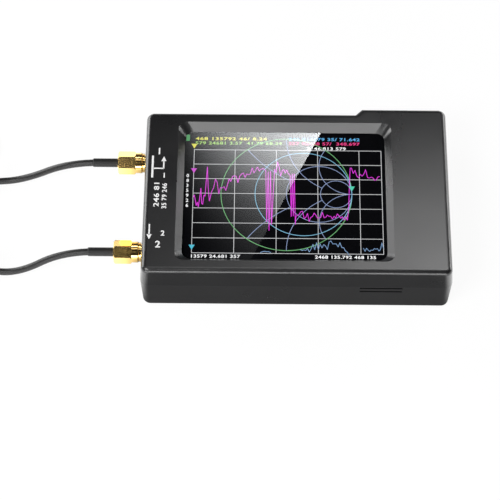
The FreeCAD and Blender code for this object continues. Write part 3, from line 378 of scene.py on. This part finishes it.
CABLE_DIAMETER = 2.8 * MM
ON_BENCH = 1.4
SLEEVE_END = -78.3
PORT_HEIGHT = 16.7
PORT_Y = {1: 18.4, 2: -22.8}
ROUTES = {
    1: [
        (SLEEVE_END, 0.0, PORT_HEIGHT), (-90.8, 0.0, PORT_HEIGHT),
        (-110.5, 1.2, ON_BENCH), (-124.5, 0.0, ON_BENCH),
    ],
    2: [
        (SLEEVE_END, 0.0, PORT_HEIGHT), (-91.0, 0.0, PORT_HEIGHT),
        (-110.0, -1.4, ON_BENCH), (-124.0, 0.0, ON_BENCH),
    ],
}
LOOP_X = -139.0
LOOP_RADIUS = 14.5
LOOP_POINTS = 16
LOOP_CLIMB = 3.4
CLIMB_FROM = 0.4
CLIMB_TURNS = 0.5
INTO_LOOP = 2.8
OUT_OF_LOOP = (4, 8, 12, 14.8)
FAR_HEIGHT = 4.1


def loop_points():
    """The loop, clockwise from above: x = -R sin(a), y = R (1 - cos(a)).

    From 0.4 to 0.9 of its turn it climbs by half a cosine, to pass over its own lead.
    """
    points = []
    swell = 1 / math.cos(math.pi / LOOP_POINTS)
    for i in range(LOOP_POINTS):
        turn = (i + 0.5) / LOOP_POINTS
        angle = 2 * math.pi * turn
        share = min(max((turn - CLIMB_FROM) / CLIMB_TURNS, 0), 1)
        rise = LOOP_CLIMB * (1 - math.cos(math.pi * share)) / 2
        x = LOOP_X - LOOP_RADIUS * swell * math.sin(angle)
        side = LOOP_RADIUS * (1 - swell * math.cos(angle))
        points.append((x, side, ON_BENCH + rise))
    return points


def make_lead(number):
    """One cord: a round tube along a smooth curve through its route, its loop and its far plug."""
    route = ROUTES[number] + [(LOOP_X + INTO_LOOP, 0.0, ON_BENCH)] + loop_points()
    heights = (ON_BENCH + LOOP_CLIMB, FAR_HEIGHT, FAR_HEIGHT, FAR_HEIGHT)
    route += [(LOOP_X - out, 0.0, height) for out, height in zip(OUT_OF_LOOP, heights)]
    data = bpy.data.curves.new(f"lead_{number}", "CURVE")
    data.dimensions = "3D"
    data.bevel_depth = CABLE_DIAMETER / 2
    data.bevel_resolution = 6
    data.resolution_u = 8
    data.use_fill_caps = True
    spline = data.splines.new("NURBS")
    spline.points.add(len(route) - 1)
    for point, (x, side, z) in zip(spline.points, route):
        point.co = (x * MM, (PORT_Y[number] + side) * MM, z * MM, 1)
    spline.order_u = 3
    spline.use_endpoint_u = True
    lead = bpy.data.objects.new(f"lead_{number}", data)
    bpy.context.scene.collection.objects.link(lead)
    data.materials.append(JACKET)
    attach(lead, f"lead_{number}")
    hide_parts(f"cable_{number}", f"coil_{number}")


for port in (1, 2):
    make_lead(port)


# Pieces drawn as flat bars or digits on a level plane. Their places are in millimetres.

def add_piece(name, mesh, material, body="case"):
    """Put a finished mesh into the scene as a piece that rides on a body."""
    mesh.name = name
    mesh.materials.clear()
    mesh.materials.append(material)
    piece = bpy.data.objects.new(name, mesh)
    bpy.context.scene.collection.objects.link(piece)
    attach(piece, body)
    return piece


BAR_FACES = np.array([
    (0, 3, 2, 1), (4, 5, 6, 7), (0, 1, 5, 4), (1, 2, 6, 5), (2, 3, 7, 6), (3, 0, 4, 7),
])


def bar_mesh(starts, ends, width, end_width, low, high):
    """Flat bars between pairs of places, as one mesh.

    A bar's four corners are its two ends, each moved half its width to either side of its line.
    They are repeated at the low and the high level. Both ends run on by a quarter of the width,
    so that bars that follow each other close their corner.
    """
    starts = np.asarray(starts, float)
    ends = np.asarray(ends, float)
    along = ends - starts
    along = along / np.linalg.norm(along, axis=1, keepdims=True)
    aside = np.stack([-along[:, 1], along[:, 0]], axis=1) / 2
    starts = starts - along * end_width / 4
    ends = ends + along * end_width / 4
    corners = np.stack(
        [starts - aside * width, ends - aside * end_width, ends + aside * end_width, starts + aside * width],
        axis=1,
    )
    level = np.ones(corners.shape[:2] + (1,))
    lower = np.concatenate([corners, level * low], axis=2)
    upper = np.concatenate([corners, level * high], axis=2)
    vertices = np.concatenate([lower, upper], axis=1).reshape(-1, 3) * MM
    faces = BAR_FACES[None] + 8 * np.arange(len(starts))[:, None, None]
    mesh = bpy.data.meshes.new("bars")
    mesh.from_pydata(vertices.tolist(), [], faces.reshape(-1, 4).tolist())
    return mesh


def draw(name, strokes, width, low, high, material):
    """Strokes as bars: each stroke is a row of places that the bars join."""
    starts = np.concatenate([stroke[:-1] for stroke in strokes])
    ends = np.concatenate([stroke[1:] for stroke in strokes])
    return add_piece(name, bar_mesh(starts, ends, width, width, low, high), material)


def row_of_digits(words, x, y, tall, turn, width, height, thickness):
    """The mesh of one row: set in the built-in face, stretched to its width, turned and placed.

    A width of 0 keeps the natural one.
    """
    data = bpy.data.curves.new("row", "FONT")
    data.body = words
    data.size = tall / CAP_SHARE * MM
    data.extrude = thickness / 2 * MM
    data.offset = BOLDER * tall * MM
    data.space_character = 1.08
    data.resolution_u = 3
    holder = bpy.data.objects.new("row", data)
    bpy.context.scene.collection.objects.link(holder)
    bpy.context.view_layer.update()
    graph = bpy.context.evaluated_depsgraph_get()
    mesh = bpy.data.meshes.new_from_object(holder.evaluated_get(graph))
    bpy.data.objects.remove(holder)
    places = np.empty(len(mesh.vertices) * 3)
    mesh.vertices.foreach_get("co", places)
    places = places.reshape(-1, 3)
    places[:, 0] -= places[:, 0].min()
    if width:
        places[:, 0] *= width * MM / places[:, 0].max()
    spin = np.array([[math.cos(turn), math.sin(turn)], [-math.sin(turn), math.cos(turn)]])
    places[:, :2] = places[:, :2] @ spin + np.array([x, y]) * MM
    places[:, 2] += height * MM
    mesh.vertices.foreach_set("co", places.ravel())
    return mesh


CAP_SHARE = 0.7
BOLDER = 0.03


def digits(name, rows, height, thickness, material):
    """Plain digits: rows of (words, x, y, cap height, turn, width)."""
    merged = bmesh.new()
    for row in rows:
        mesh = row_of_digits(*row, height, thickness)
        merged.from_mesh(mesh)
        bpy.data.meshes.remove(mesh)
    mesh = bpy.data.meshes.new(name)
    merged.to_mesh(mesh)
    merged.free()
    return add_piece(name, mesh, material)


# The display's picture, seen through the glass.

SCREEN_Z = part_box("display_panel")[1].z / MM
PIXEL_DEPTH = 0.03
GRID_X = (-40.7, -24.35, -7.9, 8.5, 25.0, 33.8)
GRID_Y = -25.7 + 6.79 * np.arange(8)
# The chart's middle and radius. Its circles and arcs are shares of that radius, and each arc
# ends at the circle whose share stands beside it.
CHART = (-3.9, 1.4, 25.8)
RESISTANCES = (0.74, 0.5, 0.24)
REACTANCES = ((0.5, 0.0), (1.0, 0.24), (2.0, 0.5))
LINE = 0.22
RIM_LINE = 0.26
TRACE = 0.26
ARC_POINTS = 240
rng = np.random.default_rng(7)


def circle(x, y, radius, count=96):
    """A full circle about (x, y): x + r cos(a), y + r sin(a)."""
    angle = np.linspace(0, 2 * math.pi, count + 1)
    return np.column_stack([x + radius * np.cos(angle), y + radius * np.sin(angle)])


def inside_chart(points, stop):
    """The stretches of a stroke inside the chart's rim, and outside its circle with that share."""
    x, y, radius = CHART
    inside = np.hypot(points[:, 0] - x, points[:, 1] - y) <= radius
    inside &= np.hypot(points[:, 0] - x - radius * (1 - stop), points[:, 1] - y) >= radius * stop
    changes = np.flatnonzero(np.diff(inside.astype(int))) + 1
    stretches = np.split(points, changes)
    kept = np.split(inside, changes)
    return [stretch for stretch, state in zip(stretches, kept) if state[0] and len(stretch) > 1]


def wander(levels, noise, step):
    """A noisy trace: straight lines through the given places, with seeded jitter at each step."""
    levels = np.array(levels, float)
    x = np.arange(levels[0, 0], levels[-1, 0] + step / 2, step)
    y = np.interp(x, levels[:, 0], levels[:, 1])
    return np.column_stack([x, y + rng.normal(0, noise, len(x))])


def spikes(first, step, count, top, bottom, spread):
    """Upright spikes side by side, which jump between a top and a bottom level."""
    x = first + step * np.arange(2 * count) / 2
    high = top - rng.uniform(0, spread / 3, count)
    low = bottom + rng.uniform(-spread, spread, count) * 0.6
    return np.column_stack([x, np.column_stack([high, low]).ravel()])


def make_grid():
    white = lit("pixels_grid", (0.74, 0.74, 0.75), 0.95)
    across = [np.array([(GRID_X[0], y), (GRID_X[-1], y)]) for y in GRID_Y]
    upright = [np.array([(x, GRID_Y[0]), (x, GRID_Y[-1])]) for x in GRID_X]
    draw("screen_grid", across + upright, LINE, SCREEN_Z, SCREEN_Z + PIXEL_DEPTH, white)


def make_chart():
    """The round chart: its rim, the circles that all touch it at the right, and the arcs between."""
    green = lit("pixels_chart_green", (0.18, 0.52, 0.2), 1.0)
    cyan = lit("pixels_chart_cyan", (0.22, 0.52, 0.72), 1.0)
    blue = lit("pixels_chart_blue", (0.3, 0.38, 0.62), 1.0)
    x, y, radius = CHART
    edge = x + radius
    low = SCREEN_Z + PIXEL_DEPTH
    draw("screen_chart_rim", [circle(x, y, radius)], RIM_LINE, low, low + PIXEL_DEPTH, green)
    large, *small = [circle(edge - radius * share, y, radius * share) for share in RESISTANCES]
    arcs = [
        stretch
        for share, stop in REACTANCES
        for side in (-1, 1)
        for stretch in inside_chart(
            circle(edge, y + side * radius * share, radius * share, ARC_POINTS), stop,
        )
    ]
    low += PIXEL_DEPTH
    draw("screen_chart_arcs", small + arcs, LINE, low, low + PIXEL_DEPTH, blue)
    low += PIXEL_DEPTH
    draw("screen_chart_large", [large], RIM_LINE, low, low + PIXEL_DEPTH, cyan)


def make_traces():
    magenta = lit("pixels_magenta", (0.75, 0.04, 0.72), 1.1)
    blue = lit("pixels_trace_blue", (0.24, 0.4, 0.66), 1.0)
    low = SCREEN_Z + 4 * PIXEL_DEPTH
    trace = np.concatenate([
        wander([(-40.6, -0.5), (-38, -1.4), (-36.0, -1.4)], 3.8, 0.42),
        [(-35.3, 13.6), (-34.8, 4.0), (-34.2, -2.2)],
        wander([(-33.4, 2), (-32, 8), (-30.6, 3), (-29, 7), (-27.6, 5)], 1.4, 0.7),
        wander([(-26.6, 8.4), (-22, 10.4), (-16, 12.4), (-13.5, 13)], 1.4, 0.7),
        spikes(-12.1, 0.95, 3, 13.0, -13.0, 5.0),
        wander([(-8.6, 12.6), (-6, 12), (-3.4, 11)], 2.0, 0.6),
        spikes(-2.4, 0.8, 3, 12.0, -10.0, 6.0),
        wander([(-0.2, -7.5), (8, -9.2), (14, -8.5), (20.2, -10.5)], 1.3, 0.65),
        [(20.6, -4), (21.0, 6.0), (21.4, 13.6)],
        wander([(21.9, 13), (25, 11.2), (28, 10.4), (31, 8.2), (33.4, 9.4)], 1.1, 0.7),
    ])
    draw("screen_trace", [trace], TRACE, low, low + PIXEL_DEPTH, magenta)
    lower = [
        wander([(-14, -25.2), (-12, -24.7), (-10, -25.2)], 0.2, 0.8),
        wander([(1.5, -25), (7, -21.5), (11, -22.5), (15, -20.8), (18, -22.5), (20.5, -25)], 1.1, 0.7),
        wander([(26, -24.5), (29, -23.5), (33.6, -22.3)], 1.1, 0.6),
    ]
    draw("screen_lower_trace", lower, LINE, low - PIXEL_DEPTH, low, blue)


def make_readouts():
    """Rows of plain digits around the grid. The lowest two rows run under the window's edge."""
    tall = 1.35
    thickness = 0.05
    rows = {
        "yellow": ((0.85, 0.8, 0.1), [("468 135792 46/ 8.24", -40.3, 26.5, tall, 0, 28.6)]),
        "lime": ((0.35, 0.62, 0.12), [("579 24681 3.57  41.79 68.24", -40.3, 24.4, tall, 0, 34.6)]),
        "blue": ((0.12, 0.45, 0.8), [("246 813579 35/ 71.642", -3.0, 26.5, tall, 0, 28.4)]),
        "red": ((0.8, 0.05, 0.22), [("357 92468 57/  348.697", -3.0, 24.4, tall, 0, 28.4)]),
        "white": ((1.0, 1.0, 1.0), [
            ("2: 46.813 579", 4.2, 22.1, tall, 0, 15.6),
            ("13579 24.681 357", -40.8, -27.8, tall, 0, 19.0),
            ("2468 135.792 468 135", 7.2, -27.8, tall, 0, 23.6),
            ("36592 265473 604", -40.8, -29.8, tall, 0, 19.0),
            ("8263 405 7391 264 508", 7.2, -29.8, tall, 0, 23.6),
        ]),
    }
    column_x, column_top, column_step, column_tall = -43.5, 8.9, 2.3, 1.45
    column = [
        (digit, column_x, column_top - column_step * i, column_tall, 0, 0)
        for i, digit in enumerate("0835926")
    ]
    rows["white"][1].extend(column)
    for tone, (colour, lines) in rows.items():
        glow = lit(f"pixels_{tone}", colour, 1.05)
        digits(f"screen_digits_{tone}", lines, SCREEN_Z, thickness, glow)


def make_markers():
    """Small triangles that stand on their tips at the traces' levels, and the charge sign."""
    edge = CHART[0] + CHART[2]
    low = SCREEN_Z + 5 * PIXEL_DEPTH
    places = {
        "yellow": ((0.85, 0.8, 0.1), (-40.7, 23.5)),
        "magenta": ((0.75, 0.1, 0.75), (-40.6, 11.9)),
        "cyan": ((0.1, 0.62, 0.8), (-40.7, -23.2)),
        "teal": ((0.1, 0.75, 0.5), (edge, 4.0)),
    }
    for tone, (colour, (x, y)) in places.items():
        mesh = bar_mesh([(x, y + 1.0)], [(x, y - 1.1)], 2.4, 0.1, low, low + PIXEL_DEPTH)
        add_piece(f"screen_marker_{tone}", mesh, lit(f"pixels_marker_{tone}", colour, 0.9))
    green = lit("pixels_charge", (0.1, 0.45, 0.15), 0.8)
    mesh = bar_mesh([(-43.3, 26.4)], [(-43.3, 28.6)], 1.4, 1.4, SCREEN_Z, SCREEN_Z + PIXEL_DEPTH)
    add_piece("screen_charge_sign", mesh, green)


make_grid()
make_chart()
make_traces()
make_readouts()
make_markers()


# Marks printed on the case's top face: plain numerals, arrows and a bar.

TOP_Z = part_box("upper_shell")[1].z / MM
PRINT_DEPTH = 0.012
PRINT_ROOT = 0.03


def print_bars(name, bars):
    """Printed bars and arrow heads: (start, end, width, width at the end)."""
    low, high = TOP_Z - PRINT_ROOT, TOP_Z + PRINT_DEPTH
    for i, (start, end, width, end_width) in enumerate(bars, 1):
        mesh = bar_mesh([start], [end], width, end_width, low, high)
        add_piece(f"{name}_{i}", mesh, PRINT)


def make_marks():
    """Plain port numbers, two rows of plain digits that read from the front up, and the arrows."""
    quarter = math.pi / 2
    rows = [
        ("1", -54.6, 16.6, 2.9, 0, 0), ("2", -54.6, -26.1, 2.9, 0, 0),
        ("1", -52.3, 5.6, 2.2, 0, 0), ("2", -52.6, -20.8, 2.2, 0, 0),
        ("246 81", -53.9, -7.8, 2.0, quarter, 11.0), ("35 79 246", -50.9, -8.6, 1.8, quarter, 11.6),
    ]
    digits("port_numerals", rows, TOP_Z, 2 * PRINT_DEPTH, PRINT)
    wide, thin, head = 0.8, 0.55, 2.0
    print_bars("port_mark", [
        ((-56.8, 5.8), (-56.8, 15.6), wide, wide),
        ((-56.5, 9.9), (-52.4, 9.9), thin, thin),
        ((-52.4, 9.9), (-52.4, 13.4), thin, thin),
        ((-52.4, 13.3), (-52.4, 15.4), head, 0.1),
        ((-57.1, -15.8), (-57.1, -20.4), thin, thin),
        ((-57.1, -20.3), (-57.1, -22.4), head, 0.1),
    ])


make_marks()


# Bench, soft lights and the card whose edge shows as the glare on the glass.

def make_floor():
    """The white bench: it takes the shadow, and glows to the camera and, otherwise, to glossy faces."""
    mesh = bpy.data.meshes.new("bench")
    side = 6.0
    corners = [(-side, -side, 0), (side, -side, 0), (side, side, 0), (-side, side, 0)]
    mesh.from_pydata(corners, [], [(0, 1, 2, 3)])
    floor = bpy.data.objects.new("bench", mesh)
    bpy.context.scene.collection.objects.link(floor)
    floor.location.z = -BENCH_DROP
    shader = Shader("bench_white")
    shader.set(Base_Color=(0.9, 0.9, 0.9, 1), Roughness=0.8)
    path = shader.node("ShaderNodeLightPath")
    glow = shader.node("ShaderNodeEmission", Color=(1, 1, 1, 1), Strength=1.0)
    share = shader.node("ShaderNodeMath", **{"0": path.outputs["Is Camera Ray"], "1": BENCH_GLOW})
    share.operation = "MULTIPLY"
    mirrored = shader.node("ShaderNodeEmission", Color=(1, 1, 1, 1), Strength=mirrored_level(shader))
    plain = shader.node("ShaderNodeMixShader", Fac=path.outputs["Is Glossy Ray"])
    shader.tree.links.new(shader.surface.outputs["BSDF"], plain.inputs[1])
    shader.tree.links.new(mirrored.outputs["Emission"], plain.inputs[2])
    both = shader.node("ShaderNodeMixShader", Fac=share.outputs["Value"])
    shader.tree.links.new(plain.outputs["Shader"], both.inputs[1])
    shader.tree.links.new(glow.outputs["Emission"], both.inputs[2])
    shader.tree.links.new(both.outputs["Shader"], shader.output.inputs["Surface"])
    mesh.materials.append(shader.material)


def mirrored_level(shader):
    """How bright the bench looks in glossy faces: dim in front of the case, bright beside it."""
    split = shader.node("ShaderNodeSeparateXYZ", Vector=shader.place)
    beside = shader.node("ShaderNodeMath", **{"0": split.outputs["X"]})
    beside.operation = "ABSOLUTE"
    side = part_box("lower_shell")[1].x
    edge = shader.ramp(beside.outputs["Value"], side - BESIDE_FROM * MM, side + BESIDE_TO * MM)
    level = shader.node("ShaderNodeMath", **{"0": edge, "1": BENCH_BESIDE, "2": BENCH_IN_FRONT})
    level.operation = "MULTIPLY_ADD"
    return level.outputs["Value"]


def make_light(name, place, aim, width, depth, power):
    """A white soft box at a place, turned to an aim. Sizes are in metres, power in watts."""
    data = bpy.data.lights.new(name, "AREA")
    data.shape = "RECTANGLE"
    data.size = width
    data.size_y = depth
    data.energy = power
    light = bpy.data.objects.new(name, data)
    bpy.context.scene.collection.objects.link(light)
    light.location = place
    way = Vector(aim) - Vector(place)
    light.rotation_mode = "QUATERNION"
    light.rotation_quaternion = way.to_track_quat("-Z", "Y")
    light.visible_camera = False
    return light


def shine_only_on(light, name, pieces):
    """Keep a light to some pieces, so that it shows neither in the glass nor on the bench."""
    lit_pieces = bpy.data.collections.new(name)
    for piece in pieces:
        lit_pieces.objects.link(nodes[piece])
    light.light_linking.receiver_collection = lit_pieces


def make_world():
    """A grey sky that is bright at the horizon and nearly black from a share of the way up."""
    world = bpy.data.worlds.new("studio")
    bpy.context.scene.world = world
    world.use_nodes = True
    tree = world.node_tree
    place = tree.nodes.new("ShaderNodeTexCoord")
    split = tree.nodes.new("ShaderNodeSeparateXYZ")
    tree.links.new(place.outputs["Generated"], split.inputs["Vector"])
    fade = tree.nodes.new("ShaderNodeMapRange")
    fade.interpolation_type = "SMOOTHSTEP"
    fade.inputs["From Min"].default_value = 0.0
    fade.inputs["From Max"].default_value = SKY_DARK_FROM
    fade.inputs["To Min"].default_value = SKY_AT_HORIZON
    fade.inputs["To Max"].default_value = SKY_OVERHEAD
    tree.links.new(split.outputs["Z"], fade.inputs["Value"])
    tree.nodes["Background"].inputs["Color"].default_value = (1, 1, 1, 1)
    tree.links.new(fade.outputs["Result"], tree.nodes["Background"].inputs["Strength"])


BENCH_DROP = 0.2 * MM
BENCH_GLOW = 0.93
BENCH_BESIDE = 2.3
BENCH_IN_FRONT = 0.27
BESIDE_FROM = 2
BESIDE_TO = 14
SKY_DARK_FROM = 0.65
SKY_AT_HORIZON = 0.3
SKY_OVERHEAD = 0.012
GLASS_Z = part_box("touch_glass")[1].z
CARD_Z = 0.70
GLARE_REAR = 32.0
GLARE_FRONT = -32.0
GLARE_LEFT = -48.0
DIAGONAL_X = 11.0
DIAGONAL_LEAN = 0.469
GLARE = 14.5
FADE_RATE = 4.9
FADE_POWER = 1.54
ACROSS_POWER = 1.1
ACROSS_GROWTH = 1.2
CARD_ROWS = 25


def make_glare_card():
    """A pale card that only the glass reflects, whose right side is the glare's sharp diagonal.

    It is a grid over two shares: across, from its left side to the diagonal, and down, from rear
    to front. Each place on the glass is carried to the card along the camera's line of sight as the
    glass mirrors it. Its tone is exp(-4.9 down^1.54) across^(1.1 + 1.2 down), so it is brightest at
    the rear beside the diagonal.
    """
    across, down = np.meshgrid(np.linspace(0, 1, CARD_ROWS), np.linspace(0, 1, CARD_ROWS))
    y = (GLARE_REAR + (GLARE_FRONT - GLARE_REAR) * down) * MM
    right = (DIAGONAL_X + DIAGONAL_LEAN * (y / MM - GLARE_REAR)) * MM
    x = GLARE_LEFT * MM + (right - GLARE_LEFT * MM) * across
    eye = CAMERA_PLACE
    reach = 1 + (CARD_Z - GLASS_Z) / (eye.z - GLASS_Z)
    places = np.stack(
        [eye.x + (x - eye.x) * reach, eye.y + (y - eye.y) * reach, np.full(x.shape, CARD_Z)], 2,
    )
    tone = np.exp(-FADE_RATE * down ** FADE_POWER) * across ** (ACROSS_POWER + ACROSS_GROWTH * down)
    rows, columns = x.shape
    number = np.arange(rows * columns).reshape(rows, columns)
    faces = np.stack([number[:-1, :-1], number[:-1, 1:], number[1:, 1:], number[1:, :-1]], 2)
    mesh = bpy.data.meshes.new("glare_card")
    mesh.from_pydata(places.reshape(-1, 3).tolist(), [], faces.reshape(-1, 4).tolist())
    tones = mesh.color_attributes.new("tone", "FLOAT_COLOR", "POINT")
    colours = np.repeat(tone.reshape(-1, 1), 4, axis=1)
    tones.data.foreach_set("color", colours.ravel().astype(np.float32))
    card = bpy.data.objects.new("glare_card", mesh)
    bpy.context.scene.collection.objects.link(card)
    shader = Shader("glare_card")
    level = shader.node("ShaderNodeAttribute")
    level.attribute_name = "tone"
    strength = shader.node("ShaderNodeMath", **{"0": level.outputs["Fac"], "1": GLARE})
    strength.operation = "MULTIPLY"
    glow = shader.node("ShaderNodeEmission", Color=(0.96, 0.98, 1.0, 1), Strength=strength.outputs["Value"])
    shader.tree.links.new(glow.outputs["Emission"], shader.output.inputs["Surface"])
    mesh.materials.append(shader.material)
    card.visible_camera = False
    card.visible_diffuse = False
    card.visible_shadow = False
    shine_only_on(card, "glass_only", ["touch_glass"])


make_floor()
make_world()
make_glare_card()
make_light("front_box", (-0.2, -0.9, 0.2), (0, 0, 0.02), 1.3, 0.28, 11.0)
make_light("key", (-0.45, -0.45, 0.75), (-0.03, 0, 0.02), 0.4, 0.4, 8.0)
make_light("left_strip", (-0.6, 0.35, 0.2), (-0.06, 0, 0.02), 0.6, 0.3, 5.0)
make_light("right_strip", (0.6, 0.35, 0.17), (0.06, 0, 0.02), 0.6, 0.2, 3.0)
make_light("overhead_strip", (0, 0.05, 0.6), (0, 0.04, 0), 1.0, 0.06, 0.5)
shells = ["upper_shell", "lower_shell"]
plated = [f"{part}_{port}" for part in ("coupling_nut", "plug_body", "jack_body") for port in (1, 2)]
top_right = make_light("top_right", (0.11, 0.085, 0.3), (0.11, 0.08, 0), 0.18, 0.16, 0.56)
shine_only_on(top_right, "top_right_on", shells)
top_left = make_light("top_left", (-0.03, 0.065, 0.3), (-0.03, 0.06, 0), 0.1, 0.13, 0.05)
shine_only_on(top_left, "top_left_on", shells)
nut_box = make_light("nut_box", (-0.1, 0.28, 0.45), (-0.07, 0, 0.02), 0.14, 0.12, 0.3)
shine_only_on(nut_box, "nut_box_on", plated)
